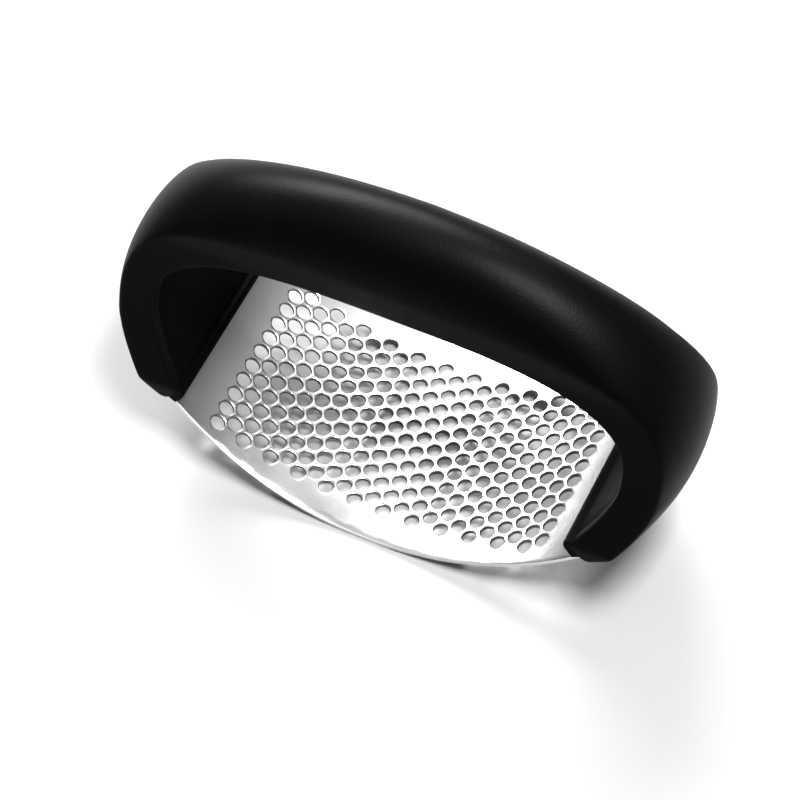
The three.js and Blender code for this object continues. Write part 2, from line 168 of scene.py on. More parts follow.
def end_patches():
    """The sheet from the last column to the shoulder, and the narrower tab beyond it."""
    border = end_border()
    far = blank_half_width(SHOULDER)
    shares = [y / blank_half_width(s) for s, y, z in border]
    # Each point keeps its share of the half width, but two are led to the corners of the tab.
    ends = [share * far for share in shares]
    low = min(range(len(ends)), key=lambda i: abs(ends[i] + TAB_HALF_WIDTH))
    high = min(range(len(ends)), key=lambda i: abs(ends[i] - TAB_HALF_WIDTH))
    ends[low], ends[high] = -TAB_HALF_WIDTH, TAB_HALF_WIDTH
    end, tab = [], []
    for k in range(END_STEPS + 1):
        t = k / END_STEPS
        row = []
        for (s, y, z), share, last in zip(border, shares, ends):
            at = s + (SHOULDER - s) * t
            row.append((at, (share + (last / far - share) * t) * blank_half_width(at), z))
        end.append(row)
    for k in range(TAB_STEPS + 1):
        s = SHOULDER + (TAB_LENGTH + GAP) * k / TAB_STEPS
        trimmed = TAB_HALF_WIDTH - max(0, s - (SHOULDER + GAP + TAB_LENGTH - TAB_CORNER))
        tab.append([(s, y * trimmed / TAB_HALF_WIDTH, 0) for y in ends[low:high + 1]])
    return end, tab


def plain_margin():
    """The unpunched sheet round the field of holes, laid flat: one half, and the same turned half round."""
    points, faces = [], []
    for turn in (1, -1):
        for grid in (top_margin(), *end_patches()):
            start, wide = len(points), len(grid[0])
            points += [(s * turn, y * turn, z) for row in grid for s, y, z in row]
            for r in range(len(grid) - 1):
                for c in range(wide - 1):
                    a = start + r * wide + c
                    faces.append((a, a + wide, a + wide + 1, a + 1))
    return mesh_object("perforated_plate_blank", points, faces)


def node(tree, kind, inputs=(), **settings):
    """Adds a node, sets its choices, and links or sets its inputs by name or by number."""
    made = tree.nodes.new(kind)
    for key, value in settings.items():
        setattr(made, key, value)
    pairs = inputs.items() if isinstance(inputs, dict) else enumerate(inputs)
    for key, value in pairs:
        if isinstance(value, bpy.types.NodeSocket):
            tree.links.new(value, made.inputs[key])
        elif value is not None:
            made.inputs[key].default_value = value
    return made


def maths(tree, operation, a, b=None):
    return node(tree, "ShaderNodeMath", (a, b), operation=operation).outputs[0]


def laid_field(tree, given):
    """Nodes that lay the cell on each place of the field, every other column moved the other way."""
    columns, rows = given["Columns"], given["Rows"]
    length = maths(tree, "MULTIPLY", maths(tree, "SUBTRACT", columns, 1.0), given["Column step"])
    width = maths(tree, "MULTIPLY", maths(tree, "SUBTRACT", rows, 1.0), given["Hole pitch"])
    places = node(tree, "GeometryNodeMeshGrid", (length, width, columns, rows)).outputs["Mesh"]
    place = node(tree, "ShaderNodeSeparateXYZ", (node(tree, "GeometryNodeInputPosition").outputs[0],))
    along = maths(tree, "ADD", place.outputs[0], maths(tree, "MULTIPLY", length, 0.5))
    column = maths(tree, "ROUND", maths(tree, "DIVIDE", along, given["Column step"]))
    odd = maths(tree, "SUBTRACT", maths(tree, "MULTIPLY", maths(tree, "MODULO", column, 2.0), 2.0), 1.0)
    shift = node(tree, "ShaderNodeCombineXYZ", (0.0, maths(tree, "MULTIPLY", odd, given["Stagger"]), 0.0))
    places = node(tree, "GeometryNodeSetPosition", {"Geometry": places, "Offset": shift.outputs[0]})
    cell = node(tree, "GeometryNodeObjectInfo", {"Object": given["Cell"]}).outputs["Geometry"]
    laid = node(tree, "GeometryNodeInstanceOnPoints", {"Points": places.outputs[0], "Instance": cell})
    return node(tree, "GeometryNodeRealizeInstances", {"Geometry": laid.outputs[0]}).outputs[0]


def merged(tree, first, second):
    """Nodes that join two meshes into one where their points meet."""
    join = tree.nodes.new("GeometryNodeJoinGeometry")
    tree.links.new(first, join.inputs[0])
    tree.links.new(second, join.inputs[0])
    whole = node(tree, "GeometryNodeMergeByDistance", {"Geometry": join.outputs[0], "Distance": 5e-6})
    return whole.outputs[0]


def thickened(tree, given, face):
    """Nodes that send a turned copy of the face down by the thickness, with its side walls."""
    turned = node(tree, "GeometryNodeFlipFaces", {"Mesh": face}).outputs[0]
    down = node(tree, "ShaderNodeCombineXYZ", (0.0, 0.0, -1.0)).outputs[0]
    under = node(tree, "GeometryNodeExtrudeMesh", {
        "Mesh": turned, "Offset": down, "Offset Scale": given["Thickness"], "Individual": False,
    })
    return merged(tree, face, under.outputs["Mesh"])


def rolled(tree, given, sheet):
    """Nodes that roll the sheet: its length becomes an angle, and its depth is taken off the radius."""
    flat = node(tree, "GeometryNodeInputPosition").outputs[0]
    kept = node(tree, "GeometryNodeStoreNamedAttribute", {
        "Geometry": sheet, "Name": "blank", "Value": flat,
    }, data_type="FLOAT_VECTOR", domain="POINT")
    place = node(tree, "ShaderNodeSeparateXYZ", (flat,)).outputs
    depth = maths(tree, "MAXIMUM", place[2], maths(tree, "MULTIPLY", given["Thickness"], -1.0))
    radius = maths(tree, "SUBTRACT", given["Inner radius"], depth)
    angle = maths(tree, "DIVIDE", place[0], given["Inner radius"])
    x = maths(tree, "MULTIPLY", radius, maths(tree, "SINE", angle))
    drop = maths(tree, "MULTIPLY", radius, maths(tree, "COSINE", angle))
    centre = maths(tree, "ADD", given["Inner radius"], given["Thickness"])
    bent = node(tree, "ShaderNodeCombineXYZ", (x, place[1], maths(tree, "SUBTRACT", centre, drop)))
    return node(tree, "GeometryNodeSetPosition", {"Geometry": kept.outputs[0], "Position": bent.outputs[0]})


def punch_and_roll_tree():
    """Lays a cell on each place of the staggered field, gives the sheet its thickness, and rolls it."""
    tree = bpy.data.node_groups.new("punch_and_roll", "GeometryNodeTree")
    sockets = {}
    for name, kind in (
        ("Blank", "Geometry"), ("Cell", "Object"), ("Columns", "Int"), ("Rows", "Int"),
        ("Column step", "Float"), ("Hole pitch", "Float"), ("Stagger", "Float"),
        ("Thickness", "Float"), ("Inner radius", "Float"), ("Steel", "Material"),
    ):
        made = tree.interface.new_socket(name, in_out="INPUT", socket_type="NodeSocket" + kind)
        sockets[name] = made.identifier
    tree.interface.new_socket("Plate", in_out="OUTPUT", socket_type="NodeSocketGeometry")
    given = tree.nodes.new("NodeGroupInput").outputs
    face = merged(tree, given["Blank"], laid_field(tree, given))
    bent = rolled(tree, given, thickened(tree, given, face))
    smooth = node(tree, "GeometryNodeSetShadeSmooth", {"Geometry": bent.outputs[0]})
    whole = node(tree, "GeometryNodeRealizeInstances", {"Geometry": smooth.outputs[0]})
    done = node(tree, "GeometryNodeSetMaterial", {"Geometry": whole.outputs[0], "Material": given["Steel"]})
    tree.links.new(done.outputs[0], tree.nodes.new("NodeGroupOutput").inputs[0])
    return tree, sockets


def new_material(name):
    """A new material, with its tree of nodes and its shader."""
    made = bpy.data.materials.new(name)
    made.use_nodes = True
    return made, made.node_tree, made.node_tree.nodes["Principled BSDF"]


def noise(tree, place, scale, detail):
    """Cloudy noise over a place, from 0 to 1."""
    made = node(tree, "ShaderNodeTexNoise", {"Vector": place, "Scale": scale, "Detail": detail})
    return made.outputs["Fac"]


def mixed(tree, share, first, second):
    """A colour between two, each of them a fixed grey or the output of another node."""
    mix = node(tree, "ShaderNodeMix", {"Factor": share}, data_type="RGBA")
    for socket, colour in ((mix.inputs[6], first), (mix.inputs[7], second)):
        if isinstance(colour, tuple):
            socket.default_value = (*colour, 1)
        else:
            tree.links.new(colour, socket)
    return mix.outputs[2]


def satin_steel():
    """Stainless steel with a satin polish along the strip, and rougher shear-cut hole walls, darkened with
    painted shade.
    """
    steel, tree, shader = new_material("satin_steel")
    shader.inputs["Metallic"].default_value = 1.0
    place = node(tree, "ShaderNodeAttribute", attribute_name="blank").outputs["Vector"]
    cut_wall_and_shade = node(tree, "ShaderNodeAttribute", attribute_name="cut").outputs["Fac"]
    cut_wall_and_shade = maths(tree, "POWER", cut_wall_and_shade, 3.0)
    drawn = node(tree, "ShaderNodeMapping", {"Vector": place, "Scale": (300.0, 14000.0, 900.0)}).outputs[0]
    lines = noise(tree, drawn, 1.0, 3.0)
    cloud = noise(tree, place, 70.0, 3.0)
    turned = node(tree, "ShaderNodeMapping", {
        "Vector": place, "Rotation": (0.0, 0.0, 0.5), "Scale": (140.0, 9000.0, 1.0),
    }).outputs[0]
    scratch = noise(tree, turned, 1.0, 1.0)
    scratch = node(tree, "ShaderNodeMapRange", (scratch, 0.74, 0.80, 0.0, 1.0)).outputs[0]
    rough = node(tree, "ShaderNodeMapRange", (lines, 0.3, 0.7, 0.17, 0.21)).outputs[0]
    rough = maths(tree, "ADD", rough, maths(tree, "MULTIPLY", cloud, 0.07))
    rough = maths(tree, "ADD", rough, maths(tree, "MULTIPLY", scratch, 0.05))
    rough = maths(tree, "ADD", rough, maths(tree, "MULTIPLY", cut_wall_and_shade, 0.15))
    tree.links.new(rough, shader.inputs["Roughness"])
    polished = mixed(tree, cloud, (0.58, 0.59, 0.60), (0.70, 0.70, 0.70))
    # Painted shade: the hole walls get a near-black colour, far darker than the steel itself.
    tree.links.new(mixed(tree, cut_wall_and_shade, polished, (0.13, 0.13, 0.135)), shader.inputs["Base Color"])
    height = maths(tree, "ADD", lines, maths(tree, "MULTIPLY", scratch, -0.5))
    bump = node(tree, "ShaderNodeBump", {"Height": height, "Strength": 0.06, "Distance": 0.00002})
    tree.links.new(bump.outputs[0], shader.inputs["Normal"])
    return steel


steel = satin_steel()
cell = punched_cell()
blank = plain_margin()
tree, sockets = punch_and_roll_tree()
rolling = blank.modifiers.new("punch_and_roll", "NODES")
rolling.node_group = tree
for name, value in (
    ("Cell", cell), ("Columns", COLUMNS), ("Rows", ROWS), ("Column step", COLUMN_STEP * MM),
    ("Hole pitch", HOLE_PITCH * MM), ("Stagger", STAGGER * MM), ("Thickness", SHEET * MM),
    ("Inner radius", INNER_RADIUS * MM), ("Steel", steel),
):
    rolling[sockets[name]] = value


def finished(made, name, sharp_degrees, material=None):
    """Turns an object with its modifiers into a plain mesh object, and the object it came from goes."""
    graph = bpy.context.evaluated_depsgraph_get()
    mesh = bpy.data.meshes.new_from_object(made.evaluated_get(graph))
    mesh.name = name
    mesh.shade_smooth()
    mesh.set_sharp_from_angle(angle=math.radians(sharp_degrees))
    if material is not None:
        mesh.materials.clear()
        mesh.materials.append(material)
    bpy.data.objects.remove(made)
    piece = bpy.data.objects.new(name, mesh)
    bpy.context.scene.collection.objects.link(piece)
    return piece


plate = finished(blank, "plate_punched", 35)
bpy.data.objects.remove(cell)
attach(plate, "root")
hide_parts("perforated_plate")

# ---- Outer shell of the handle ----
# The back, sides and feet of the handle, one hollow injection moulding in black plastic with a fine
# spark-eroded grain. The arch is rounded; down the ends the back meets the flat sides at a crease.
# The feet hold the tabs of the plate.
LENGTH = 116.94  # this and the width over the feet are a hair under the 117 and 41 of the solid
FOOT_WIDTH = 40.98
HEIGHT = 70.5
OVERHANG = 13.5  # how far an end bulges out past the tip of its foot
BULGE_HEIGHT = 33.6
OUTER_SQUARENESS = 2.1  # 2 is an ellipse, and more is squarer
INNER_SQUARENESS = 2.88
FOOT_FLARE = 7.0  # degrees by which the back meets the plate at a flatter slope than the plate's own
INNER_TUCK = 1.5
INNER_WIDEST = 33.7
WIDEST_AT = 0.6  # the share of an outline's points that lie over its widest place
ARCH_DEPTH = 18.3
END_DEPTH = 10.2
ARCH_WIDTH = 20.6
SIDE_BOW = 1.26
SIDE_FACE_ARCH = 6.0  # depth of the flat side face at the top of the arch, and down the ends
SIDE_FACE_END = 7.7
SIDE_FACE_FULL = 0.6  # the share of the way to a foot where it has its full depth
SIDE_FACE_GROWTH = 1.5
SIDE_FACE_SHARE = 0.9  # the most that it takes of the whole depth
ARCH_ROUNDNESS = 2  # 2 is a half ellipse, and less is more pointed
END_ROUNDNESS = 1.18
CREASE_FULL = 0.75
FOOT_RISE = 3.8
FOOT_ROUND = 1.5
FOOT_TURN = 4  # how late on the way to the plate a section takes up the slant of the foot
WALL = 2.2
SEAM = 0.1


def polar(radius, angle):
    """A point (x, z) at a radius from the middle of the plate's curve, and an angle from straight down."""
    return np.array((radius * math.sin(angle), ROCK_RADIUS - radius * math.cos(angle)))


FOOT_TIP = polar(ROCK_RADIUS + FOOT_FLOOR, FOOT_ANGLE)
FOOT_TOP = polar(INNER_RADIUS - FOOT_RISE, FOOT_ANGLE)
FOOT_DEPTH = np.linalg.norm(FOOT_TIP - FOOT_TOP)
FOOT_OUT = (FOOT_TIP - FOOT_TOP) / FOOT_DEPTH
OUTER_TUCK = (BULGE_HEIGHT - FOOT_TIP[1]) / (OVERHANG * math.tan(FOOT_ANGLE - math.radians(FOOT_FLARE)))


def side_outline(half_length, widest, top, squareness, tuck, foot):
    """Points of the right half of the handle seen from the side, from the arch's top to a foot."""
    t = np.linspace(0, 1, 6001)
    angle = math.pi / 2 * (1 - np.minimum(t / WIDEST_AT, 1))
    down = np.clip((t - WIDEST_AT) / (1 - WIDEST_AT), 0, 1)
    x = half_length * np.abs(np.cos(angle)) ** (2 / squareness)
    z = widest + (top - widest) * np.abs(np.sin(angle)) ** (2 / squareness)
    x = np.where(down > 0, half_length - (half_length - foot[0]) * down**tuck, x)
    z = np.where(down > 0, widest - (widest - foot[1]) * down, z)
    x[0] = 0
    return np.stack((x, z), 1)


back_line = side_outline(LENGTH / 2, BULGE_HEIGHT, HEIGHT, OUTER_SQUARENESS, OUTER_TUCK, FOOT_TIP)
opening_line = side_outline(
    LENGTH / 2 - END_DEPTH, INNER_WIDEST, HEIGHT - ARCH_DEPTH, INNER_SQUARENESS, INNER_TUCK, FOOT_TOP,
)
opening_run = np.concatenate(([0], np.cumsum(np.linalg.norm(np.diff(opening_line, axis=0), axis=1))))


def opening_at(share):
    """The point at a share of the way round the hand opening, from the arch's top to a foot."""
    run = share * opening_run[-1]
    return np.array([np.interp(run, opening_run, opening_line[:, i]) for i in (0, 1)])


def side_half_width(z):
    """Half the handle's width at a height: narrow over the arch, and bowing out to the feet."""
    top = HEIGHT - ARCH_DEPTH
    down = np.clip((top - z) / (top - FOOT_TOP[1]), 0, 1)
    return ARCH_WIDTH / 2 + (FOOT_WIDTH - ARCH_WIDTH) / 2 * down**SIDE_BOW


def way_out(along):
    """The direction of a section: square to the opening at first, and slanted as the foot is at its end."""
    near = 0.002
    ahead, behind = opening_at(min(along + near, 1)), opening_at(max(along - near, 0))
    way = (ahead - behind) / np.linalg.norm(ahead - behind)
    square = np.array((-way[1], way[0])) if along > near else np.array((0.0, 1.0))
    out = square + (FOOT_OUT - square) * along**FOOT_TURN
    return out / np.linalg.norm(out)


def depth_to_back(along, inner, out):
    """How far it is from the hand opening to the line of the back, less the rounding of the foot's end."""
    rel = back_line - inner
    cross = rel[:, 0] * out[1] - rel[:, 1] * out[0]
    hits = np.nonzero((cross[:-1] <= 0) & (cross[1:] > 0))[0]
    depth = float(FOOT_DEPTH)
    if along < 0.9999 and len(hits):
        i = hits[-1]
        f = cross[i] / (cross[i] - cross[i + 1])
        depth = float((rel[i] + (rel[i + 1] - rel[i]) * f) @ out)
    left = (1 - along) * opening_run[-1]
    if left < FOOT_ROUND:
        depth -= FOOT_ROUND - math.sqrt(FOOT_ROUND**2 - (FOOT_ROUND - left) ** 2)
    return depth


class Station:
    """A cross-section of the handle, from -1 at the left foot to 1 at the right foot."""

    def __init__(self, share):
        along = abs(share)
        self.side = -1 if share < 0 else 1
        self.inner = opening_at(along)
        self.out = way_out(along)
        self.depth = depth_to_back(along, self.inner, self.out)
        grown = min(along / SIDE_FACE_FULL, 1) ** SIDE_FACE_GROWTH
        face = SIDE_FACE_ARCH + (SIDE_FACE_END - SIDE_FACE_ARCH) * grown
        self.face = min(face, SIDE_FACE_SHARE * self.depth)
        self.end = min(along / CREASE_FULL, 1)  # 0 where the back is round, 1 where it is creased
        # How far outwards the plate's curve is, where the hollow of the foot has to stop.
        to = self.inner - np.array((0, ROCK_RADIUS))
        b, c = to @ self.out, to @ to - (ROCK_RADIUS + GAP) ** 2
        self.floor = float(-b + math.sqrt(max(b * b - c, 0)))

    def width(self, n):
        return side_half_width(self.inner[1] + self.out[1] * np.asarray(n))

    def dome(self, across):
        return (1 - across**2) ** (1 / (ARCH_ROUNDNESS + (END_ROUNDNESS - ARCH_ROUNDNESS) * self.end))

    def place(self, flat):
        """Points (across, outwards) of this section as points in space."""
        y, n = flat[:, 0], flat[:, 1]
        x, z = self.side * (self.inner[0] + self.out[0] * n), self.inner[1] + self.out[1] * n
        return np.stack((x, y, z), 1)


def softened(path, reach):
    """Rounds the corners of an open path by averaging each point with its neighbours within reach."""
    gaps = np.linalg.norm(np.diff(path, axis=0), axis=1)
    run = np.concatenate(([0], np.cumsum(gaps)))
    share = np.gradient(run)
    near = np.exp(-0.5 * ((run[:, None] - run[None, :]) / reach[:, None]) ** 2) * share[None, :]
    return near @ path / near.sum(1, keepdims=True)


def mirrored(half):
    """Both sides of a section from one, which ends on the middle line."""
    return np.concatenate((half, half[-2::-1] * (-1, 1)))


# Sections stand evenly from foot to foot, and closer over the rounding at each foot's end.
END_STATIONS = 9
MIDDLE_STATIONS = 250
foot_share = 1 - FOOT_ROUND / opening_run[-1]
foot_shares = 1 - (1 - foot_share) * (1 - np.sin(np.linspace(0, math.pi / 2, END_STATIONS)))
middle_shares = np.linspace(-foot_share, foot_share, MIDDLE_STATIONS)
SHARES = np.concatenate((-foot_shares[:0:-1], middle_shares, foot_shares[1:]))

RIM_POINTS, SIDE_POINTS, BACK_POINTS = 7, 16, 30
EDGE_REACH, CREASE_REACH = 0.38, 0.5  # how soft the edge at the seam and the crease are
CREASE_SPREAD = 9  # in points, as are the widths of the painted highlight bands
EDGE_HIGHLIGHT_WIDTH, CREASE_HIGHLIGHT_WIDTH = 2.0, 3.0
LEAD_LENGTH, LEAD_POINTS = 3.0, 10
LEDGE_SHARE = 0.3  # of the inner side face, where the wall is straight behind the seam
LEAST_FACE, LEAST_CROWN = 0.4, 0.05


def outer_path(s):
    """The outside of a section from the seam on one side, over the back, to the seam on the other."""
    rim = np.stack((np.linspace(s.width(0) - WALL, s.width(0), RIM_POINTS), np.zeros(RIM_POINTS)), 1)
    up = (1 - np.cos(np.linspace(0, math.pi, SIDE_POINTS))) / 2 * s.face
    side = np.stack((s.width(up), up), 1)
    across = np.sin(np.linspace(math.pi / 2, 0, BACK_POINTS))
    crown = np.stack((s.width(s.face) * across, s.face + (s.depth - s.face) * s.dome(across)), 1)
    half = np.concatenate((rim, side[1:], crown[1:]))
    # A short lead past each seam keeps the softening from drawing the seam in. It is cut off again.
    lead = half[:1] - np.array([[LEAD_LENGTH, 0.0]]) * np.linspace(1, 0.1, LEAD_POINTS)[:, None]
    half = np.concatenate((lead, half))
    crease = LEAD_POINTS + RIM_POINTS + SIDE_POINTS - 2
    near = np.exp(-0.5 * ((np.arange(len(half)) - crease) / CREASE_SPREAD) ** 2)
    reach = EDGE_REACH + (CREASE_REACH - EDGE_REACH) * near * s.end
    soft = softened(mirrored(half), np.concatenate((reach, reach[-2::-1])))
    kept = soft[LEAD_POINTS:-LEAD_POINTS]
    kept[0], kept[-1] = half[LEAD_POINTS], half[LEAD_POINTS] * (-1, 1)
    return kept


def inner_path(s):
    """The inside of the wall, point for point with the outside. In the feet it stops at the plate."""
    seam = s.width(0) - WALL
    face = max(s.face - WALL / 2, LEAST_FACE)
    crown = max(s.depth - WALL, face + LEAST_CROWN)
    ledge = LEDGE_SHARE * face
    low = np.stack((np.full(RIM_POINTS, seam), np.linspace(0, ledge, RIM_POINTS)), 1)
    up = np.linspace(ledge, face, SIDE_POINTS)
    side = np.stack((s.width(up) - WALL, up), 1)
    across = np.sin(np.linspace(math.pi / 2, 0, BACK_POINTS))
    back = np.stack(((s.width(face) - WALL) * across, face + (crown - face) * s.dome(across)), 1)
    half = np.concatenate((low, side[1:], back[1:]))
    half[:, 1] = np.minimum(half[:, 1], s.floor)
    return mirrored(half)


def painted_edge_highlight(s, count):
    """How much painted highlight each outside point gets: along the two edges at the seam, and on the
    creases, more towards the feet.
    """
    at, edge_highlight = np.arange(count), np.zeros(count)
    edge, crease = RIM_POINTS - 1, RIM_POINTS + SIDE_POINTS - 2
    for corner in (edge, count - 1 - edge):
        edge_highlight += np.exp(-(((at - corner) / EDGE_HIGHLIGHT_WIDTH) ** 2))
    for corner in (crease, count - 1 - crease):
        edge_highlight += s.end * np.exp(-(((at - corner) / CREASE_HIGHLIGHT_WIDTH) ** 2))
    return edge_highlight


def wall_end(base, wide):
    """The faces that close the wall at a foot's end, from its outside points to its inside ones."""
    faces = []
    for j in range(wide // 2):
        corners = (base + j, base + j + 1, base + (-j - 1) % wide, base + -j % wide)
        faces.append(tuple(dict.fromkeys(corners)))
    return faces


def outer_shell():
    """The whole wall as one skin: each section runs over the outside and back along the inside."""
    points, highlight_rings = [], []
    for share in SHARES:
        s = Station(share)
        out, inn = outer_path(s), inner_path(s)
        ring = np.concatenate((out, inn[-2:0:-1]))
        points.append(s.place(ring))
        highlight_rings.append(np.pad(painted_edge_highlight(s, len(out)), (0, len(ring) - len(out))))
    wide, last = len(ring), len(SHARES) - 1
    faces = joined(len(SHARES), wide) + wall_end(0, wide) + wall_end(last * wide, wide)
    made = mesh_object("handle_outer", np.concatenate(points), faces)
    # The edge attribute holds the weight of the painted highlight on the seam edges and creases.
    edge_highlight = made.data.attributes.new("edge", "FLOAT", "POINT")
    edge_highlight.data.foreach_set("value", np.concatenate(highlight_rings).astype(np.float32))
    return made


def facing_out(made):
    """Merges points that meet, and turns every face outwards."""
    work = bmesh.new()
    work.from_mesh(made.data)
    bmesh.ops.remove_doubles(work, verts=work.verts, dist=2e-6)
    bmesh.ops.dissolve_degenerate(work, edges=work.edges, dist=1e-6)
    bmesh.ops.recalc_face_normals(work, faces=work.faces)
    work.to_mesh(made.data)
    work.free()
    return made


def black_plastic(name, edges, shine, gloss):
    """Black moulded plastic: a fine eroded grain, slow changes of gloss, and on request a painted highlight
    along edges and creases, lighter and a little glossier.
    """
    made, tree, shader = new_material(name)
    shader.inputs["Specular IOR Level"].default_value = shine
    place = node(tree, "ShaderNodeTexCoord").outputs["Object"]
    grain = noise(tree, place, 3000.0, 3.0)
    pits = node(tree, "ShaderNodeTexVoronoi", {"Vector": place, "Scale": 2300.0}).outputs["Distance"]
    slow = noise(tree, place, 55.0, 4.0)
    rough = node(tree, "ShaderNodeMapRange", (slow, 0.3, 0.7, gloss, gloss + 0.07)).outputs[0]
    rough = maths(tree, "ADD", rough, maths(tree, "MULTIPLY", grain, 0.06))
    colour = mixed(tree, slow, (0.0006, 0.0006, 0.0007), (0.0011, 0.0011, 0.0012))
    if edges:
        # Painted highlight: the seam edges and end creases are coloured lighter in patches, and made a little
        # glossier.
        edge_highlight = node(tree, "ShaderNodeAttribute", attribute_name="edge").outputs["Fac"]
        patchy_highlight = maths(tree, "MULTIPLY", edge_highlight, slow)
        rough = maths(tree, "SUBTRACT", rough, maths(tree, "MULTIPLY", patchy_highlight, 0.16))
        colour = mixed(tree, patchy_highlight, colour, (0.0025, 0.0025, 0.0027))
    tree.links.new(rough, shader.inputs["Roughness"])
    tree.links.new(colour, shader.inputs["Base Color"])
    height = maths(tree, "ADD", grain, maths(tree, "MULTIPLY", pits, 0.6))
    bump = node(tree, "ShaderNodeBump", {"Height": height, "Strength": 0.5, "Distance": 0.00005})
    tree.links.new(bump.outputs[0], shader.inputs["Normal"])
    return made


outer = facing_out(outer_shell())
outer = finished(outer, "handle_outer_moulding", 50, black_plastic("black_plastic_outer", True, 0.03, 0.33))
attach(outer, "root")
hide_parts("handle_outer_shell")

# ---- Inner shell of the handle ----
# The face round the hand opening, a second moulding in the same plastic. It drops into the outer shell,
# leaves a fine seam all round, and ends at each foot in a lip that clamps the plate from above.
# Two cups in the underside of the arch take the screw heads.
PANEL = 2.0  # thickness of the panel
PANEL_EDGE, PANEL_BEVEL = 0.25, 0.08
PANEL_ACROSS = 12
SCREW_STATION = 0.33
SCREW_HEAD = 5.6
HEAD_SUNK = 0.8
HEAD_HEIGHT = 1.9
HEAD_SEAT = HEAD_SUNK + HEAD_HEIGHT
SHANK_HOLE = 1.75
CUP_WALL = 1.7
CUP_FLOOR = 1.9
LIP = 1.9  # how far the lip reaches over the plate, and how far it goes back into the foot
LIP_BACK = 0.6
LIP_TOP = 0.8
LIP_CLEAR = 0.12  # between the lip and the plate
LIP_SHORT, LIP_BEVEL, LIP_SHRINK = 0.05, 0.18, 0.072  # its ends, in from the side, and their rounding


def capped(name, rings):
    """A closed solid through a row of rings, with a flat face over each end."""
    count = len(rings[0])
    last = (len(rings) - 1) * count
    faces = joined(len(rings), count) + [tuple(range(count)), tuple(range(last, last + count))[::-1]]
    return facing_out(mesh_object(name, [p for ring in rings for p in ring], faces))


def lining():
    """The curved panel, a little narrower than the seam lines, with its exposed edges rounded."""
    rings = []
    for share in SHARES:
        s = Station(share)
        wide = float(s.width(0)) - WALL - SEAM
        deep = float(s.width(PANEL)) - WALL - SEAM
        front = [(-wide, PANEL_EDGE), (-wide + PANEL_BEVEL, PANEL_BEVEL)]
        front += [(y, 0.0) for y in np.linspace(-wide + PANEL_EDGE, wide - PANEL_EDGE, PANEL_ACROSS)]
        front += [(wide - PANEL_BEVEL, PANEL_BEVEL), (wide, PANEL_EDGE)]
        behind = [(deep, PANEL), (0.0, PANEL), (-deep, PANEL)]
        rings.append(s.place(np.array(front + behind)))
    return capped("handle_inner", rings)


def clamping_lip(side):
    """A bar over the handle's whole width, with rounded corners, from just over the plate to the opening."""
    base = INNER_RADIUS - LIP_CLEAR
    top = INNER_RADIUS - FOOT_RISE - LIP_TOP
    wide = LIP + LIP_BACK
    profile = [
        (0.2, base), (0, base - 0.2), (0, top + 1.5), (0.2, top + 0.75), (0.6, top + 0.22),
        (1.1, top), (wide - 0.9, top), (wide, top + LIP_TOP), (wide, base),
    ]
    start = FOOT_ANGLE - LIP / INNER_RADIUS
    outline = [polar(radius, start + run / INNER_RADIUS) for run, radius in profile]
    middle = polar((base + top) / 2, start + wide / 2 / INNER_RADIUS)
    rings = []
    end, edge = (LIP_SHRINK, 0), (0, LIP_BEVEL)
    for across, (shrink, bevel) in ((-1, end), (-1, edge), (1, edge), (1, end)):
        ring = []
        for point in outline:
            x, z = point + (middle - point) * shrink
            half = float(side_half_width(z)) - LIP_SHORT - bevel
            ring.append((side * x, across * half, z))
        rings.append(ring)
    return capped("lip", rings)


def from_axis(s, radius, angle):
    """The step from a section's middle line to a point round it."""
    across = np.array((s.side * s.out[1], 0, -s.out[0]))
    return radius * (math.cos(angle) * across + math.sin(angle) * np.array((0, 1, 0)))


def round_tool(share, radius, start, end, sides=56):
    """A round bar square to the hand opening at a share of the way round, between two depths."""
    s = Station(share)
    angles = np.linspace(0, 2 * math.pi, sides, endpoint=False)
    centres = s.place(np.array([[0.0, start], [0.0, end]]))
    return capped("tool", [[centre + from_axis(s, radius, a) for a in angles] for centre in centres])


def combine(made, tool, operation):
    """Adds a tool to an object, or cuts it out of it, and the tool goes."""
    cut = made.modifiers.new("cut", "BOOLEAN")
    cut.operation, cut.object, cut.solver = operation, tool, "EXACT"
    graph = bpy.context.evaluated_depsgraph_get()
    mesh = bpy.data.meshes.new_from_object(made.evaluated_get(graph))
    made.modifiers.remove(cut)
    made.data = mesh
    bpy.data.objects.remove(tool)
    return made


inner = lining()
cup_radius = SCREW_HEAD / 2 + GAP
for side in (-1, 1):
    cup = round_tool(side * SCREW_STATION, cup_radius + CUP_WALL, PANEL / 2, HEAD_SEAT + CUP_FLOOR)
    inner = combine(inner, cup, "UNION")
    inner = combine(inner, clamping_lip(side), "UNION")
for side in (-1, 1):
    share = side * SCREW_STATION
    inner = combine(inner, round_tool(share, cup_radius, -1.0, HEAD_SEAT), "DIFFERENCE")
    inner = combine(inner, round_tool(share, SHANK_HOLE, HEAD_SEAT - 1.0, HEAD_SEAT + 3.0, 32), "DIFFERENCE")
inner = finished(inner, "handle_inner_moulding", 30, black_plastic("black_plastic_inner", False, 0.015, 0.42))
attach(inner, "root")
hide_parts("handle_inner_shell")

# ---- Shell screws ----
# Two zinc-plated pan-head screws with a cross recess, driven up into bosses of the outer shell, which are not
# built here.
# They pull the inner shell home and so clamp the plate.
SCREW_DIAMETER = 3.0
SCREW_LENGTH = 9.0
SCREW_SIDES = 48
THREAD_PITCH = 1.1
THREAD_DEPTH = 0.32
THREAD_SLOPE = 2.6  # how steeply the thread's flanks rise from its groove
THREAD_STEPS = 8  # rings for each turn of the thread
RECESS_ARM, RECESS_HALF, RECESS_DEPTH = 1.45, 0.36, 1.0


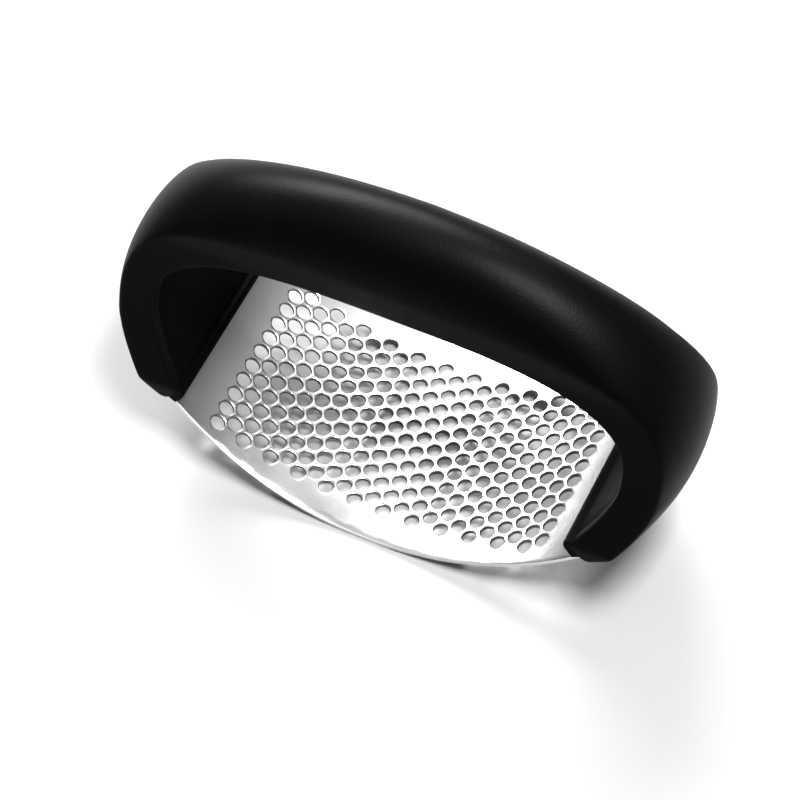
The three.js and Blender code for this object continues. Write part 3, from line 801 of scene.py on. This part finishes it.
def zinc_plate():
    """Bright zinc over cold-headed steel: slightly blue, cloudy, and uneven in its shine."""
    made, tree, shader = new_material("zinc_plate")
    shader.inputs["Metallic"].default_value = 1.0
    place = node(tree, "ShaderNodeTexCoord").outputs["Object"]
    cloud = noise(tree, place, 900.0, 4.0)
    tree.links.new(mixed(tree, cloud, (0.42, 0.44, 0.48), (0.62, 0.63, 0.64)), shader.inputs["Base Color"])
    rough = node(tree, "ShaderNodeMapRange", (cloud, 0.3, 0.7, 0.26, 0.44)).outputs[0]
    tree.links.new(rough, shader.inputs["Roughness"])
    bump = node(tree, "ShaderNodeBump", {"Height": cloud, "Strength": 0.15, "Distance": 0.00003})
    tree.links.new(bump.outputs[0], shader.inputs["Normal"])
    return made


def screw_profile():
    """Rings (radius, height, threaded) of the screw, from the top of its head to its tip."""
    head = [
        (0.9, -HEAD_HEIGHT), (1.7, -HEAD_HEIGHT + 0.06), (2.3, -HEAD_HEIGHT + 0.3),
        (2.66, -HEAD_HEIGHT + 0.72), (2.78, -0.9), (2.8, -0.4), (2.74, -0.31), (1.3, -0.3),
    ]
    heights = np.arange(-0.2, SCREW_LENGTH - 2.4, THREAD_PITCH / THREAD_STEPS)
    tip = [(1.1, SCREW_LENGTH - 1.6, False), (0.5, SCREW_LENGTH - 0.5, False)]
    return [(r, h, False) for r, h in head] + [(SCREW_DIAMETER / 2, h, True) for h in heights] + tip


def recess_bar(s, seat, along, arm, half):
    """One bar of the cross that the driver's recess is cut with."""
    bar = []
    for height in (-HEAD_HEIGHT - 0.5, -HEAD_HEIGHT + RECESS_DEPTH):
        corners = [(-arm, -half), (arm, -half), (arm, half), (-arm, half)]
        bar.append([
            seat + from_axis(s, x, 0) + y * np.array((0, 1, 0)) + height * along for x, y in corners
        ])
    return capped("recess", bar)


def screw(side):
    """A lathed head and a threaded shank in one skin, head towards the hand opening."""
    s = Station(side * SCREW_STATION)
    along = np.array((s.side * s.out[0], 0, s.out[1]))
    seat = s.place(np.array([[0.0, HEAD_SEAT]]))[0]
    rings, points = screw_profile(), []
    for radius, height, threaded in rings:
        for i in range(SCREW_SIDES):
            r = radius
            if threaded:
                phase = (height / THREAD_PITCH + i / SCREW_SIDES) % 1
                r -= THREAD_DEPTH * min(1.0, THREAD_SLOPE * abs(phase - 0.5))
            points.append(seat + from_axis(s, r, 2 * math.pi * i / SCREW_SIDES) + height * along)
    faces = joined(len(rings), SCREW_SIDES)
    points += [seat - HEAD_HEIGHT * along, seat + SCREW_LENGTH * along]
    last = (len(rings) - 1) * SCREW_SIDES
    for i in range(SCREW_SIDES):
        j = (i + 1) % SCREW_SIDES
        faces += [(i, j, len(points) - 2), (last + i, last + j, len(points) - 1)]
    made = facing_out(mesh_object("screw", points, faces))
    for arm, half in ((RECESS_HALF, RECESS_ARM), (RECESS_ARM, RECESS_HALF)):
        made = combine(made, recess_bar(s, seat, along, arm, half), "DIFFERENCE")
    return made


zinc = zinc_plate()
for name, side in (("left", -1), ("right", 1)):
    piece = finished(screw(side), "screw_" + name + "_pan_head", 35, zinc)
    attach(piece, "root")
    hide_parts("shell_screw_" + name)

# ---- Worktop, light and camera ----
# A plain grey worktop, lit strongly enough to look nearly white. A large softbox stands behind it on
# the left, a smaller one hangs over the tool, and a weak, wide one fills in from behind.
HALF_WORKTOP = 1500
corners = [(-HALF_WORKTOP, -HALF_WORKTOP, 0), (HALF_WORKTOP, -HALF_WORKTOP, 0),
           (HALF_WORKTOP, HALF_WORKTOP, 0), (-HALF_WORKTOP, HALF_WORKTOP, 0)]
floor = mesh_object("worktop", corners, [(0, 1, 2, 3)])
paint, tree, shader = new_material("worktop")
shader.inputs["Base Color"].default_value = (0.235, 0.235, 0.235, 1)
shader.inputs["Roughness"].default_value = 0.7
floor.data.materials.append(paint)


def softbox(name, place, aim, size, power):
    data = bpy.data.lights.new(name, "AREA")
    data.shape, data.size, data.size_y = "RECTANGLE", size[0], size[1]
    data.energy = power
    made = bpy.data.objects.new(name, data)
    made.location = place
    made.rotation_euler = (Vector(aim) - Vector(place)).to_track_quat("-Z", "Y").to_euler()
    bpy.context.scene.collection.objects.link(made)


softbox("key", (-0.62, 0.85, 0.78), (0, 0, 0.05), (0.85, 0.55), 60)
softbox("over", (0.26, -0.02, 0.95), (0, 0, 0.05), (0.45, 0.25), 27)
softbox("behind", (-0.25, 0.70, 0.95), (0, 0, 0.03), (1.1, 0.7), 1.8)

# The room round it is dim at the sides and bright overhead.
world = bpy.data.worlds.new("studio")
bpy.context.scene.world = world
world.use_nodes = True
sky = world.node_tree
up = node(sky, "ShaderNodeSeparateXYZ", (node(sky, "ShaderNodeTexCoord").outputs["Generated"],)).outputs[2]
level = node(sky, "ShaderNodeMapRange", (up, 0.55, 0.95, 0.08, 1.20)).outputs[0]
sky.links.new(level, sky.nodes["Background"].inputs["Strength"])
sky.nodes["Background"].inputs["Color"].default_value = (1, 1, 1, 1)
bpy.context.scene.view_settings.view_transform = "Standard"

camera_data = bpy.data.cameras.new("camera")
camera_data.lens = 144.1
camera_data.sensor_width = 36
camera_data.clip_start = 0.01
camera = bpy.data.objects.new("camera", camera_data)
bpy.context.scene.collection.objects.link(camera)
forward = Vector((-0.24947, 0.52192, -0.81570))
right = Vector((0.90412, 0.42727, -0.00313))
turn = Matrix((right, right.cross(forward), -forward)).transposed().to_4x4()
camera.matrix_world = Matrix.Translation((0.1529, -0.3268, 0.5231)) @ turn
bpy.context.scene.camera = camera

bpy.context.view_layer.update()
